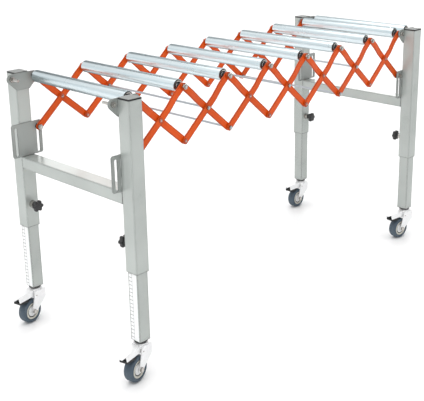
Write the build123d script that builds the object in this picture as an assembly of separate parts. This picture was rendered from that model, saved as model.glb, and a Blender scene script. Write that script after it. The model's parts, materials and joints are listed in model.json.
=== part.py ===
from build123d import *
import os
from math import acos, asin, cos, degrees, radians, sin, sqrt

# Extending roller table: two castor frames joined by a scissor lattice that carries the rollers.
# X runs along the lattice, Y along the rollers, Z is up, and the floor is at zero.

# Layout of the lattice and the two frames
cell_count = 7
open_pitch = 162.0
full_pitch = 165.0
closed_pitch = 60.0
bar_length = 213.5
post_spread = 450.0
ear_reach = 34.0

# Heights from the floor up
castor_height = 102.0
leg_show = 182.0
retract_travel = 160.0
retract_spare = 28.0
post_length = 429.0
cap_thickness = 3.0
axle_drop = 14.5

# Posts, legs and cross rails
post_size = 40.0
post_wall = 2.5
post_corner = 2.5
leg_gap = 0.5
leg_wall = 2.0
leg_corner = 1.8
foot_plate = 5.0
rail_height = 32.0
rail_wall = 2.0
rail_corner = 2.0
cap_corner = 1.0
plug_depth = 16.0
plug_wall = 3.0
plug_gap = 0.3
plug_corner = 0.5

# Clearances shared by all the running and seated fits
pivot_gap = 0.08
thread_gap = 0.05
seat_gap = 0.3
press_gap = 0.03
slot_side_gap = 0.25
slot_end_gap = 0.5

# Plates on the inner faces of the posts
plate_thickness = 3.0
ear_radius = 13.0
bracket_foot_width = 44.0
bracket_depth = 32.0
bracket_corner = 4.0
slot_plate_width = 94.0
slot_plate_above = 9.0
slot_plate_below = 3.6
slot_plate_corner = 6.0
slot_plate_gap = 1.0

# Lattice bars, their pivots and the spacing of their layers
bar_width = 18.0
bar_thickness = 4.0
layer_gap = 1.0
crank_start = 34.0
crank_end = 73.0
rivet_radius = 3.0
rivet_head_radius = 5.6
rivet_head = 1.8
rivet_edge = 0.7
rod_radius = 3.0
rod_nut_width = 10.0
rod_nut_height = 4.5
thread_end = 1.5
nut_corner = 1.0
nut_slope_share = 0.6
nut_blank_gap = 0.2

# Roller axles, their nuts and their sleeves
axle_radius = 4.0
axle_nut_width = 13.0
axle_nut_height = 6.0
sleeve_wall = 3.0
stud_thread = 9.0
stud_tip_radius = 3.8
stud_tip_length = 22.0

# Rollers
roller_radius = 16.0
roller_wall = 1.5
roller_front_space = 26.0
roller_rear_space = 17.0
bearing_flange_radius = 13.5
bearing_flange = 2.0
bearing_plug = 12.0
bearing_relief = 3.0

# Clamp knobs
knob_drop = 367.0
boss_radius = 9.0
boss_length = 12.0
spindle_radius = 5.0
spindle_hole_gap = 0.5
knob_radius = 11.5
lobe_radius = 5.0
lobe_count = 6
knob_thickness = 14.0
knob_edge = 1.5
knob_neck_radius = 8.0
knob_neck = 7.0

# Castor head and fork
stem_radius = 6.0
stem_nut_width = 19.0
stem_nut_height = 3.5
foot_washer_radius = 17.5
foot_washer = 2.5
race_radius = 18.0
race_height = 3.0
head_radius = 20.0
head_height = 4.0
stem_head_radius = 9.0
stem_head = 3.0
fork_gap = 2.0
fork_wall = 2.5
fork_trail = 27.6
fork_nose = 12.0
fork_nose_drop = 26.0
fork_nose_radius = 8.0
fork_shoulder = 14.0
fork_shoulder_radius = 6.0
fork_eye_radius = 8.0
fork_crown = 12.5
crown_step = 0.5

# Castor wheel and its axle bolt
wheel_radius = 34.0
tyre_width = 28.0
tyre_edge = 7.0
hub_radius = 24.0
hub_rim = 4.5
hub_rim_width = 25.0
hub_web = 12.0
hub_boss_radius = 9.0
bolt_radius = 4.0
bolt_head_radius = 6.5
bolt_head = 3.5

# Castor brake
pedal_reach = 95.0
pedal_width = 26.0
pedal_wall = 2.5
pedal_top = 95.0
pedal_depth = 18.0
pedal_lip = 17.0
pivot_trail = 15.0
pivot_height = 78.0
pivot_eye_radius = 5.0
pivot_pin_radius = 2.0
pad_front = 42.0
pad_back = 74.0
pad_height = 9.0
pad_slope = 3.0
pad_inset = 1.0

# Swivel of each castor in degrees, and how far each brake turns when it is pressed
castor_swivel = {"front_left": 13.0, "rear_left": 12.0, "front_right": -8.0, "rear_right": 0.0}

# Heights and places worked out from the sizes above
leg_foot = castor_height
post_foot = leg_foot + leg_show
post_top = post_foot + post_length
cap_top = post_top + cap_thickness
axle_height = cap_top - axle_drop
knob_height = cap_top - knob_drop
leg_size = post_size - 2 * post_wall - 2 * leg_gap
leg_hidden = post_length - plug_depth - retract_travel - retract_spare
stem_stack = foot_washer + stem_nut_height + race_height
fork_top = leg_foot - stem_stack - 4 * seat_gap

frame_gap = cell_count * open_pitch + 2 * ear_reach
left_x = (pedal_reach - ear_reach - roller_radius - frame_gap) / 2
right_x = left_x + frame_gap
first_axle_x = left_x + ear_reach

front_face = (post_size - post_spread) / 2
rear_face = -front_face
front_post_y = -post_spread / 2
rear_post_y = post_spread / 2

# The lattice's front and rear halves are alike, so each has its outer layer towards the front
front_outer = front_face + plate_thickness + layer_gap
front_inner = front_outer + bar_thickness + layer_gap
rear_inner = rear_face - plate_thickness - layer_gap - bar_thickness
rear_outer = rear_inner - layer_gap - bar_thickness
layer_pairs = ((front_outer, front_inner), (rear_outer, rear_inner))

roller_front = front_face + roller_front_space
roller_rear = rear_face - roller_rear_space
roller_span = (roller_front - bearing_flange, roller_rear + bearing_flange)
front_plate = (front_face, front_face + plate_thickness)
rear_plate = (rear_face - plate_thickness, rear_face)

bar_lean = degrees(asin(open_pitch / bar_length))


def lattice_drop(pitch):
    """Height from the roller axles down to the foot pivots at a roller pitch."""
    return sqrt(bar_length ** 2 - pitch ** 2)


foot_drop = lattice_drop(open_pitch)
foot_height = axle_height - foot_drop
slot_width = 2 * (axle_radius + slot_side_gap)
slot_top = axle_height - lattice_drop(full_pitch) + axle_radius + slot_end_gap
slot_bottom = axle_height - lattice_drop(closed_pitch) - axle_radius - slot_end_gap
slot_plate_foot = slot_bottom - slot_plate_below
rail_top = slot_plate_foot - slot_plate_gap


def group(shapes):
    """One node made of separate solids."""
    return Compound([solid for shape in shapes for solid in shape.solids()])


def along_y(face, y0, y1):
    """Face drawn in x and z, made solid between two y places."""
    return Pos(0, y1, 0) * Rot(90, 0, 0) * extrude(face, y1 - y0)


def rod_y(radius, x, z, y0, y1):
    """Round bar along y."""
    return along_y(Pos(x, z) * Circle(radius), y0, y1)


def tube_y(outer, bore, x, z, y0, y1):
    """Round tube along y."""
    return along_y(Pos(x, z) * (Circle(outer) - Circle(bore)), y0, y1)


def nut(across, bore, height):
    """Hexagon nut standing on z zero, by its width across the flats, corners turned off."""
    solid = extrude(RegularPolygon(across / 2, 6, major_radius=False), height)
    blank = extrude(Circle(across / sqrt(3) + nut_blank_gap), height)
    rims = blank.edges().group_by(Axis.Z)
    solid &= chamfer(rims[0] + rims[-1], nut_corner, nut_corner * nut_slope_share)
    return solid - extrude(Circle(bore), height)


def nut_y(across, bore, x, z, y0, y1):
    """Hexagon nut along y."""
    return Pos(x, y1, z) * Rot(90, 0, 0) * nut(across, bore, y1 - y0)


def square_tube(size, wall, corner, z0, z1):
    """Square tube standing on z0, centred on the z axis."""
    inner = size - 2 * wall
    section = RectangleRounded(size, size, corner) - Rectangle(inner, inner)
    return Pos(0, 0, z0) * extrude(section, z1 - z0)


def hull_of_circles(circles):
    """Outline of a band stretched round circles given as (x, z, radius)."""
    edges = [Pos(x, z) * Circle(radius).edge() for x, z, radius in circles]
    return make_face(make_hull(edges).edges())


def post(y, inward):
    """Outer tube of one leg, with the hole for its clamp spindle on the inner face."""
    tube = square_tube(post_size, post_wall, post_corner, post_foot, post_top)
    hole_radius = spindle_radius + spindle_hole_gap
    hole = rod_y(hole_radius, 0, knob_height, 0, post_size)
    if inward < 0:
        hole = mirror(hole, Plane.XZ)
    return Pos(0, y, 0) * (tube - hole)


def cross_rail():
    """Rectangular tube that ties the two posts of a frame."""
    z = rail_top - rail_height / 2
    outer = RectangleRounded(post_size, rail_height, rail_corner)
    inner = Rectangle(post_size - 2 * rail_wall, rail_height - 2 * rail_wall)
    return along_y(Pos(0, z) * (outer - inner), front_face, rear_face)


def clamp_boss(y0, y1):
    """Threaded boss that a clamp knob screws through."""
    return tube_y(boss_radius, spindle_radius + thread_gap, 0, knob_height, y0, y1)


def frame():
    """Two posts, their cross rail and the clamp bosses, standing at x zero."""
    return [
        post(front_post_y, 1),
        post(rear_post_y, -1),
        cross_rail(),
        clamp_boss(front_face, front_face + boss_length),
        clamp_boss(rear_face - boss_length, rear_face),
    ]


def post_cap(y):
    """Moulded cap on top of a post, with a hollow plug inside the tube."""
    slab = extrude(RectangleRounded(post_size, post_size, post_corner), cap_thickness)
    slab = chamfer(slab.faces().sort_by(Axis.Z)[-1].edges(), cap_corner)
    plug_size = post_size - 2 * post_wall - 2 * plug_gap
    plug = square_tube(plug_size, plug_wall, plug_corner, -plug_depth, 0)
    return Pos(0, y, post_top) * (slab + plug)


def roller_bracket(y0, y1):
    """Plate with an ear on each side of the post for a roller axle."""
    low = axle_height - bracket_depth + bracket_corner
    side = bracket_foot_width / 2 - bracket_corner
    outline = hull_of_circles(
        [
            (-ear_reach, axle_height, ear_radius),
            (ear_reach, axle_height, ear_radius),
            (-side, low, bracket_corner),
            (side, low, bracket_corner),
        ]
    )
    for x in (-ear_reach, ear_reach):
        outline -= Pos(x, axle_height) * Circle(axle_radius + pivot_gap)
    return along_y(outline, y0, y1)


def slot_bracket(y0, y1):
    """Plate whose upright slots guide the foot pins of the lattice."""
    top = slot_top + slot_plate_above
    height = top - slot_plate_foot
    outline = RectangleRounded(slot_plate_width, height, slot_plate_corner)
    outline = Pos(0, slot_plate_foot + height / 2) * outline
    slot = Rot(0, 0, 90) * SlotOverall(slot_top - slot_bottom, slot_width)
    for x in (-ear_reach, ear_reach):
        outline -= Pos(x, (slot_top + slot_bottom) / 2) * slot
    return along_y(outline, y0, y1)


def sleeves(x, z, stops):
    """Spacer sleeves in the free stretches between neighbouring pieces on an axle."""
    found = []
    bore = axle_radius + pivot_gap
    for (_, end), (start, _) in zip(stops, stops[1:]):
        if start - end > layer_gap + seat_gap:
            y0 = end + seat_gap
            y1 = start - seat_gap
            found.append(tube_y(bore + sleeve_wall, bore, x, z, y0, y1))
    return found


def axle(x, z, stops):
    """Threaded bar through pieces at the given y stretches, a nut at each end."""
    y0 = stops[0][0] - seat_gap
    y1 = stops[-1][1] + seat_gap
    over = axle_nut_height + thread_end
    bore = axle_radius + thread_gap
    return [
        rod_y(axle_radius, x, z, y0 - over, y1 + over),
        nut_y(axle_nut_width, bore, x, z, y0 - axle_nut_height, y0),
        nut_y(axle_nut_width, bore, x, z, y1, y1 + axle_nut_height),
    ] + sleeves(x, z, stops)


def layer(y):
    """Stretch of y that a bar in the layer starting at y takes."""
    return (y, y + bar_thickness)


def tie_rod(x, z):
    """Thin rod across the lattice, with a nut on each side of both pairs of bars."""
    bore = rod_radius + thread_gap
    pieces = []
    ends = []
    for outer, inner in layer_pairs:
        y0 = outer - seat_gap
        y1 = inner + bar_thickness + seat_gap
        pieces.append(nut_y(rod_nut_width, bore, x, z, y0 - rod_nut_height, y0))
        pieces.append(nut_y(rod_nut_width, bore, x, z, y1, y1 + rod_nut_height))
        ends += [y0, y1]
    over = rod_nut_height + thread_end
    return [rod_y(rod_radius, x, z, ends[0] - over, ends[-1] + over)] + pieces


def rivet(x, z, outer, inner):
    """Headed rivet through the two layers of bars."""
    y0 = outer - seat_gap
    y1 = inner + bar_thickness + seat_gap
    body = rod_y(rivet_radius, x, z, y0 - rivet_head, y1 + rivet_head)
    body += rod_y(rivet_head_radius, x, z, y0 - rivet_head, y0)
    body += rod_y(rivet_head_radius, x, z, y1, y1 + rivet_head)
    ends = body.edges().group_by(Axis.Y)
    return chamfer(ends[0] + ends[-1], rivet_edge)


def rivets(x, z):
    """The same rivet in the front and rear halves of the lattice."""
    return [rivet(x, z, outer, inner) for outer, inner in layer_pairs]


def bar(top_y, foot_y, foot_bore):
    """Flat bar along x from its top pivot, cranked from the top's layer to the foot's."""
    end = bar_width / 2
    tip = bar_length + end
    strip = Polygon(
        (-end, top_y),
        (crank_start, top_y),
        (crank_end, foot_y),
        (tip, foot_y),
        (tip, foot_y + bar_thickness),
        (crank_end, foot_y + bar_thickness),
        (crank_start, top_y + bar_thickness),
        (-end, top_y + bar_thickness),
        align=None,
    )
    solid = Pos(0, 0, -end) * extrude(strip, bar_width)
    y0 = min(top_y, foot_y)
    y1 = max(top_y, foot_y) + bar_thickness
    outline = Pos(bar_length / 2, 0) * SlotCenterToCenter(bar_length, bar_width)
    bores = ((0, axle_radius), (bar_length / 2, rivet_radius), (bar_length, foot_bore))
    for place, radius in bores:
        outline -= Pos(place, 0) * Circle(radius + pivot_gap)
    return solid & along_y(outline, y0, y1)


def lean_bars(x, angle, top_is_outer, foot_bore):
    """Front and rear bar of one link, hung from an axle place and turned about y."""
    bars = []
    for outer, inner in layer_pairs:
        top_y, foot_y = (outer, inner) if top_is_outer else (inner, outer)
        turned = Rot(0, angle, 0) * bar(top_y, foot_y, foot_bore)
        bars.append(Pos(x, 0, axle_height) * turned)
    return bars


def axle_x(number):
    """Place of roller axle 1 to 9 along x."""
    if number <= cell_count + 1:
        return first_axle_x + (number - 1) * open_pitch
    return right_x + ear_reach


def has_tie_rod(place):
    """Whether a middle pivot (cell) or a foot pivot (-cell) holds a tie rod, not rivets."""
    return place in (2, 4, 6, -2, -5)


def down_link(cell):
    """Bars that fall from axle `cell` to the foot pivot below the next axle."""
    foot_bore = axle_radius if cell == cell_count else rivet_radius
    return lean_bars(axle_x(cell), 90 - bar_lean, True, foot_bore)


def up_link(cell):
    """Bars that rise to the next axle, with the rivets that they carry."""
    foot_bore = axle_radius if cell == 1 else rivet_radius
    x = axle_x(cell)
    pieces = lean_bars(x + open_pitch, 90 + bar_lean, False, foot_bore)
    if not has_tie_rod(cell):
        pieces += rivets(x + open_pitch / 2, axle_height - foot_drop / 2)
    if cell > 1 and not has_tie_rod(1 - cell):
        pieces += rivets(x, foot_height)
    return pieces


def foot_pins(x, layer_index):
    """Bolts that run in the slots of the brackets, at the front and at the rear."""
    front = [front_plate, layer(layer_pairs[0][layer_index])]
    rear = [layer(layer_pairs[1][layer_index]), rear_plate]
    return axle(x, foot_height, front) + axle(x, foot_height, rear)


def lattice_axle(number):
    """Axle of a roller between the frames, through both bars of each side."""
    stops = [layer(front_outer), layer(front_inner), roller_span, layer(rear_outer), layer(rear_inner)]
    return axle(axle_x(number), axle_height, stops)


def frame_axle(x, held_layer):
    """Axle through a frame's brackets, with the bar layer that turns on it, if any."""
    stops = [front_plate, roller_span, rear_plate]
    if held_layer is not None:
        stops = [front_plate, layer(layer_pairs[0][held_layer]), roller_span]
        stops += [layer(layer_pairs[1][held_layer]), rear_plate]
    return axle(x, axle_height, stops)


def pivot_hardware(cell):
    """Axle, tie rods and slot bolts that ride on one rising link."""
    pieces = lattice_axle(cell + 1)
    if has_tie_rod(cell):
        pieces += tie_rod(axle_x(cell) + open_pitch / 2, axle_height - foot_drop / 2)
    if cell > 1 and has_tie_rod(1 - cell):
        pieces += tie_rod(axle_x(cell), foot_height)
    if cell == 1:
        pieces += foot_pins(first_axle_x, 0)
    return pieces


def coupling_stud(x, plate, inward):
    """Stud bolted through a spare ear, its plain free end pointing between the posts."""
    bore = axle_radius + thread_gap
    over = axle_nut_height + seat_gap
    outer_face, inner_face = plate[::inward]
    outer_end = outer_face - inward * (over + thread_end)
    shoulder = inner_face + inward * stud_thread
    tip = shoulder + inward * stud_tip_length
    stud = rod_y(axle_radius, x, axle_height, *sorted((outer_end, shoulder)))
    stud += rod_y(stud_tip_radius, x, axle_height, *sorted((shoulder, tip)))
    return [
        stud,
        nut_y(axle_nut_width, bore, x, axle_height, plate[0] - over, plate[0] - seat_gap),
        nut_y(axle_nut_width, bore, x, axle_height, plate[1] + seat_gap, plate[1] + over),
    ]


def roller(number):
    """Steel tube with a flanged bearing in each end."""
    x = axle_x(number)
    bore = roller_radius - roller_wall
    pieces = [tube_y(roller_radius, bore, x, axle_height, roller_front, roller_rear)]
    plug = bore - press_gap
    shaft = axle_radius + pivot_gap
    ends = ((roller_front, 1), (roller_rear, -1))
    for y, inward in ends:
        outer_end = y - inward * bearing_flange
        inner_end = y + inward * bearing_plug
        flange = sorted((outer_end, y))
        seat = sorted((y, inner_end))
        whole = sorted((outer_end, inner_end))
        hollow = sorted((y + inward * bearing_relief, inner_end))
        bearing = rod_y(bearing_flange_radius, x, axle_height, *flange)
        bearing += rod_y(plug, x, axle_height, *seat)
        bearing -= rod_y(shaft, x, axle_height, *whole)
        bearing -= tube_y(plug - roller_wall, shaft + roller_wall, x, axle_height, *hollow)
        pieces.append(bearing)
    return pieces


def leg():
    """Inner tube with its foot plate, the castor stem, and the rings stacked on the stem."""
    tube = square_tube(leg_size, leg_wall, leg_corner, leg_foot, post_foot + leg_hidden)
    inner = leg_size - 2 * leg_wall
    plate = Pos(0, 0, leg_foot) * extrude(
        Rectangle(inner, inner) - Circle(stem_radius + thread_gap), foot_plate
    )
    pieces = [tube + plate]
    stack = (
        (Circle(foot_washer_radius), foot_washer),
        (RegularPolygon(stem_nut_width / 2, 6, major_radius=False), stem_nut_height),
        (Circle(race_radius), race_height),
    )
    height = leg_foot
    for section, thickness in stack:
        height -= seat_gap + thickness
        ring = extrude(section - Circle(stem_radius + thread_gap), thickness)
        pieces.append(Pos(0, 0, height) * ring)
    stem_foot = fork_top - head_height - seat_gap
    stem_length = leg_foot + foot_plate + thread_end - stem_foot
    stem = Pos(0, 0, stem_foot) * extrude(Circle(stem_radius), stem_length)
    stem += Pos(0, 0, stem_foot - stem_head) * extrude(Circle(stem_head_radius), stem_head)
    return pieces + [stem]


def star_section():
    """Outline of a lobed knob, round lobes set round a disc."""
    section = Circle(knob_radius)
    ring = PolarLocations(knob_radius, lobe_count)
    for place in ring:
        section += place * Circle(lobe_radius)
    return section


def knob():
    """Star knob with its neck and threaded spindle, its axis up and the leg's face at z zero."""
    leg_face = post_wall + leg_gap
    neck_z = leg_face + boss_length + seat_gap
    head_z = neck_z + knob_neck
    head = Pos(0, 0, head_z) * extrude(star_section(), knob_thickness)
    rims = head.edges().group_by(Axis.Z)
    head = chamfer(rims[0] + rims[-1], knob_edge)
    neck = Pos(0, 0, neck_z) * extrude(Circle(knob_neck_radius), knob_neck)
    spindle = Pos(0, 0, seat_gap) * extrude(Circle(spindle_radius), head_z)
    return head + neck + spindle


def placed_knob(inward):
    """Knob turned to point inward from the post's own axis."""
    turned = Pos(0, inward * leg_size / 2, knob_height) * Rot(-90 * inward, 0, 0)
    return turned * knob()


def fork_half_width():
    """Half the width between the fork's cheeks."""
    return tyre_width / 2 + fork_gap


def fork():
    """Castor fork: round head on a square crown, two tapering cheeks, and the wheel bolt."""
    shoulder = fork_top - crown_step - fork_shoulder_radius
    outline = hull_of_circles(
        [
            (-fork_shoulder, shoulder, fork_shoulder_radius),
            (fork_shoulder, shoulder, fork_shoulder_radius),
            (fork_nose, fork_top - fork_nose_drop, fork_nose_radius),
            (-fork_trail, wheel_radius, fork_eye_radius),
        ]
    )
    outline -= Pos(-fork_trail, wheel_radius) * Circle(bolt_radius + thread_gap)
    outline -= Pos(-pivot_trail, pivot_height) * Circle(pivot_pin_radius + thread_gap)
    inner = fork_half_width()
    outer = inner + fork_wall
    body = along_y(outline, -outer, -inner) + along_y(outline, inner, outer)
    head = Circle(head_radius) + Rectangle(2 * fork_crown, inner + outer)
    disc = Pos(0, 0, fork_top - head_height) * extrude(head, head_height)
    hole = Pos(0, 0, fork_top - head_height) * extrude(
        Circle(stem_radius + seat_gap), head_height
    )
    head_span = seat_gap + bolt_head
    bolt = rod_y(bolt_radius, -fork_trail, wheel_radius, -outer - head_span, outer + head_span)
    for y0, y1 in ((-outer - head_span, -outer - seat_gap), (outer + seat_gap, outer + head_span)):
        bolt += rod_y(bolt_head_radius, -fork_trail, wheel_radius, y0, y1)
    pin = rod_y(pivot_pin_radius, -pivot_trail, pivot_height, -outer - seat_gap, outer + seat_gap)
    return [body + disc - hole, bolt, pin]


def wheel():
    """Castor wheel: a round-shouldered tyre on a webbed hub, centred on the y axis."""
    half = tyre_width / 2
    tyre = tube_y(wheel_radius, hub_radius + press_gap, 0, 0, -half, half)
    rims = tyre.edges().filter_by(GeomType.CIRCLE).sort_by(SortBy.RADIUS)[-2:]
    tyre = fillet(rims, tyre_edge)
    bore = bolt_radius + pivot_gap
    rim_half = hub_rim_width / 2
    web_half = hub_web / 2
    rim_in = hub_radius - hub_rim
    profile = Polygon(
        (bore, -half),
        (hub_boss_radius, -half),
        (hub_boss_radius, -web_half),
        (rim_in, -web_half),
        (rim_in, -rim_half),
        (hub_radius, -rim_half),
        (hub_radius, rim_half),
        (rim_in, rim_half),
        (rim_in, web_half),
        (hub_boss_radius, web_half),
        (hub_boss_radius, half),
        (bore, half),
        align=None,
    )
    hub = revolve(profile, Axis.Y)
    return [Pos(-fork_trail, 0, wheel_radius) * piece for piece in (tyre, hub)]


def brake():
    """Pressed brake lever between the cheeks, with the block that bears on the tyre."""
    half = pedal_width / 2
    low = pedal_top - pedal_depth
    step = pedal_reach - pedal_lip
    knee = head_radius + fork_gap
    deck = Polygon(
        (-knee, pedal_top),
        (-pedal_reach, pedal_top),
        (-pedal_reach, pedal_top - pedal_wall),
        (-step, pedal_top - pedal_wall),
        (-pad_back, low),
        (-knee, low),
        align=None,
    )
    inside = Polygon(
        (-knee, pedal_top - pedal_wall),
        (-step, pedal_top - pedal_wall),
        (-pad_back, low),
        (-knee, low),
        align=None,
    )
    cheek = hull_of_circles(
        [
            (-pivot_trail, pivot_height, pivot_eye_radius),
            (-knee - pivot_eye_radius, low + pivot_eye_radius, pivot_eye_radius),
        ]
    )
    cheek -= Pos(-pivot_trail, pivot_height) * Circle(pivot_pin_radius + pivot_gap)
    lever = along_y(deck, -half, half)
    lever -= along_y(inside, pedal_wall - half, half - pedal_wall)
    lever += along_y(cheek, -half, pedal_wall - half)
    lever += along_y(cheek, half - pedal_wall, half)
    pad_half = half - pad_inset
    pad = Polygon(
        (-pad_front, low),
        (-pad_back, low),
        (-pad_back, low - pad_height + pad_slope),
        (-pad_front, low - pad_height),
        align=None,
    )
    return [lever, along_y(pad, -pad_half, pad_half)]


def write(name, shapes):
    """Write one node as a STEP file."""
    export_step(group(shapes), f"parts/{name}.step")


def moved(shapes, place):
    """The same shapes at another place."""
    return [place * shape for shape in shapes]


def write_frame(side, x, roller_pins):
    """One end frame with its caps, brackets and axles."""
    place = Pos(x, 0, 0)
    write(f"{side}_frame", moved(frame(), place))
    write(f"{side}_post_caps", moved([post_cap(front_post_y), post_cap(rear_post_y)], place))
    brackets = [roller_bracket(*front_plate), roller_bracket(*rear_plate)]
    write(f"{side}_roller_brackets", moved(brackets, place))
    guides = [slot_bracket(*front_plate), slot_bracket(*rear_plate)]
    write(f"{side}_slot_brackets", moved(guides, place))
    write(f"{side}_axle_hardware", roller_pins)


def write_corner(name, x, y, inward):
    """Leg, clamp knob and castor of one corner."""
    place = Pos(x, y, 0)
    swivel = place * Rot(0, 0, castor_swivel[name])
    write(f"leg_{name}", moved(leg(), place))
    write(f"clamp_knob_{name}", [place * placed_knob(inward)])
    write(f"castor_fork_{name}", moved(fork(), swivel))
    write(f"castor_wheel_{name}", moved(wheel(), swivel))
    write(f"castor_brake_{name}", moved(brake(), swivel))


def main():
    """Build every node and write it to its own file."""
    os.makedirs("parts", exist_ok=True)
    left_pins = frame_axle(axle_x(1), 0)
    left_pins += coupling_stud(left_x - ear_reach, front_plate, 1)
    left_pins += coupling_stud(left_x - ear_reach, rear_plate, -1)
    right_pins = frame_axle(axle_x(cell_count + 1), 1)
    right_pins += frame_axle(axle_x(cell_count + 2), None)
    write_frame("left", left_x, left_pins)
    write_frame("right", right_x, right_pins)
    for cell in range(1, cell_count + 1):
        write(f"down_link_{cell}", down_link(cell))
        write(f"up_link_{cell}", up_link(cell))
        if cell < cell_count:
            write(f"pivot_hardware_{cell}", pivot_hardware(cell))
    write("slot_pins_right", foot_pins(axle_x(cell_count + 1), 1))
    for number in range(1, cell_count + 3):
        write(f"roller_{number}", roller(number))
    corners = (
        ("front_left", left_x, front_post_y, 1),
        ("rear_left", left_x, rear_post_y, -1),
        ("front_right", right_x, front_post_y, 1),
        ("rear_right", right_x, rear_post_y, -1),
    )
    for corner in corners:
        write_corner(*corner)


if __name__ == "__main__":
    main()
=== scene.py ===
import json
import math

import bmesh
import bpy
from bpy.props import FloatProperty, FloatVectorProperty, IntProperty, PointerProperty
from mathutils import Matrix, Vector


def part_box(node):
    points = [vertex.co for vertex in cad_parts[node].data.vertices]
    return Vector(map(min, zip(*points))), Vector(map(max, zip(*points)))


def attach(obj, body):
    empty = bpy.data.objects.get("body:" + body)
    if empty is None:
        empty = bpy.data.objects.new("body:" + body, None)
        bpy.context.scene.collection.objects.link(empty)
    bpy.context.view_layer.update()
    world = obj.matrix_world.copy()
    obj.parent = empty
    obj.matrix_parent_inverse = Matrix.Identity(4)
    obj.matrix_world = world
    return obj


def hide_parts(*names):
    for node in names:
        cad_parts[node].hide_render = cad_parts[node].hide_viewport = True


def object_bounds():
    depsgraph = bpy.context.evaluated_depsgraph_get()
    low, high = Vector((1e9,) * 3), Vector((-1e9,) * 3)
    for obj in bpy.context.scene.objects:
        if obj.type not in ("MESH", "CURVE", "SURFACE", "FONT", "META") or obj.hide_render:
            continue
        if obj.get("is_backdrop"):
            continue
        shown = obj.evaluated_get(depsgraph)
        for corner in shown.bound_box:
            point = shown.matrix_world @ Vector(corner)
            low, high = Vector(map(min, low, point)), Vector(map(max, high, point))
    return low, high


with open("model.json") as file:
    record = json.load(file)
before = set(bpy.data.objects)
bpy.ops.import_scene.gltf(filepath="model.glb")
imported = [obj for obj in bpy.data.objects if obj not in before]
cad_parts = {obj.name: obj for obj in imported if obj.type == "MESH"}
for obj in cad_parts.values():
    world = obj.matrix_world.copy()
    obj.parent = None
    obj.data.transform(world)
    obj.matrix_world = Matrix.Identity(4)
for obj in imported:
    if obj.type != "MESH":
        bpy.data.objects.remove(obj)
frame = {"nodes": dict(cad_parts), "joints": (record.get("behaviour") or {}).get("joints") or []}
cad_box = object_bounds()

bl_info = {
    "name": "Roller table finishes",
    "version": (1, 0, 0),
    "blender": (4, 5, 0),
    "location": "View3D > Sidebar > Roller table",
    "description": "Paint, plating, wheels, rollers and trim of an extending roller table",
    "category": "Object",
}

METRE = 1.0
MM = 0.001
SIDES = ("left", "right")
CORNERS = ("front_left", "rear_left", "front_right", "rear_right")

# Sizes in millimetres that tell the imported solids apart
BOSS_LENGTH = 12.0
SLEEVE_WIDTH = 14.16
ROD_WIDTH = 6.0
WASHER_WIDTH = 35.0
RACE_WIDTH = 36.0
FORK_HEIGHT = 20.0
LEVER_LENGTH = 50.0
LONG = 100.0

# Sizes in millimetres of the posts that the trim follows
CAP_THICKNESS = 3.0
POST_CORNER = 2.5

# Linear colours that are not among the settings
POLISHED_EDGE = (0.95, 0.96, 0.97)
BOLT_STEEL = (0.56, 0.54, 0.51)
# painted shade for the edges of the nuts, axles and bolts
BOLT_EDGE_SHADE = (0.06, 0.055, 0.05)
ROD_STEEL = (0.50, 0.53, 0.56)
CASTOR_STEEL = (0.95, 0.955, 0.96)
ROLLER_EDGE = (0.92, 0.94, 0.95)
SPACER_BLACK = (0.009, 0.009, 0.010)
HUB_WHITE = (0.74, 0.75, 0.75)
RIM_CREAM = (0.66, 0.64, 0.56)
RIM_EDGE = (0.8, 0.79, 0.72)
# painted shadow for the groove round a castor hub
HUB_GROOVE_SHADE = (0.030, 0.033, 0.036)
CAP_SIDE = (0.012, 0.012, 0.013)
TREAD_DUST = (0.30, 0.32, 0.34)
DULL_PAPER = (0.90, 0.91, 0.90)
SCALE_INK = (0.10, 0.105, 0.11)
BLACK = (0.0, 0.0, 0.0)


def joint(name):
    """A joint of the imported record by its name."""
    return next(found for found in frame["joints"] if found["name"] == name)


def nodes_named(start):
    """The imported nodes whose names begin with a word."""
    return sorted(name for name in frame["nodes"] if name.startswith(start))


def opaque(tone):
    """Linear colour with full cover."""
    return (*tone, 1.0)


def grey(tone):
    """Neutral linear colour with full cover."""
    return opaque((tone, tone, tone))


def tinted(base, share):
    """Colour made lighter or darker by a share, with full cover."""
    return opaque(min(1.0, part * share) for part in base[:3])


class Wire:
    """One output of a shader node, for use in Python expressions."""

    def __init__(self, sheet, socket):
        self.sheet = sheet
        self.socket = socket

    def maths(self, operation, first, second):
        """Math node on two numbers or wires."""
        settings = {"operation": operation}
        return self.sheet.node("ShaderNodeMath", settings, {0: first, 1: second})

    def __add__(self, other):
        return self.maths("ADD", self, other)

    def __radd__(self, other):
        return self.maths("ADD", other, self)

    def __sub__(self, other):
        return self.maths("SUBTRACT", self, other)

    def __rsub__(self, other):
        return self.maths("SUBTRACT", other, self)

    def __mul__(self, other):
        return self.maths("MULTIPLY", self, other)

    def __rmul__(self, other):
        return self.maths("MULTIPLY", other, self)

    def __mod__(self, other):
        return self.maths("FLOORED_MODULO", self, other)

    def __rmod__(self, other):
        return self.maths("FLOORED_MODULO", other, self)

    def __abs__(self):
        return self.maths("ABSOLUTE", self, 0)

    def below(self, limit):
        """One where the value is under a limit."""
        return self.maths("LESS_THAN", self, limit)

    def eased(self, low, high):
        """Zero below low and one above high, led smoothly between them."""
        settings = {"interpolation_type": "SMOOTHSTEP"}
        sockets = {"Value": self, "From Min": low, "From Max": high}
        return self.sheet.node("ShaderNodeMapRange", settings, sockets)


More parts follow.
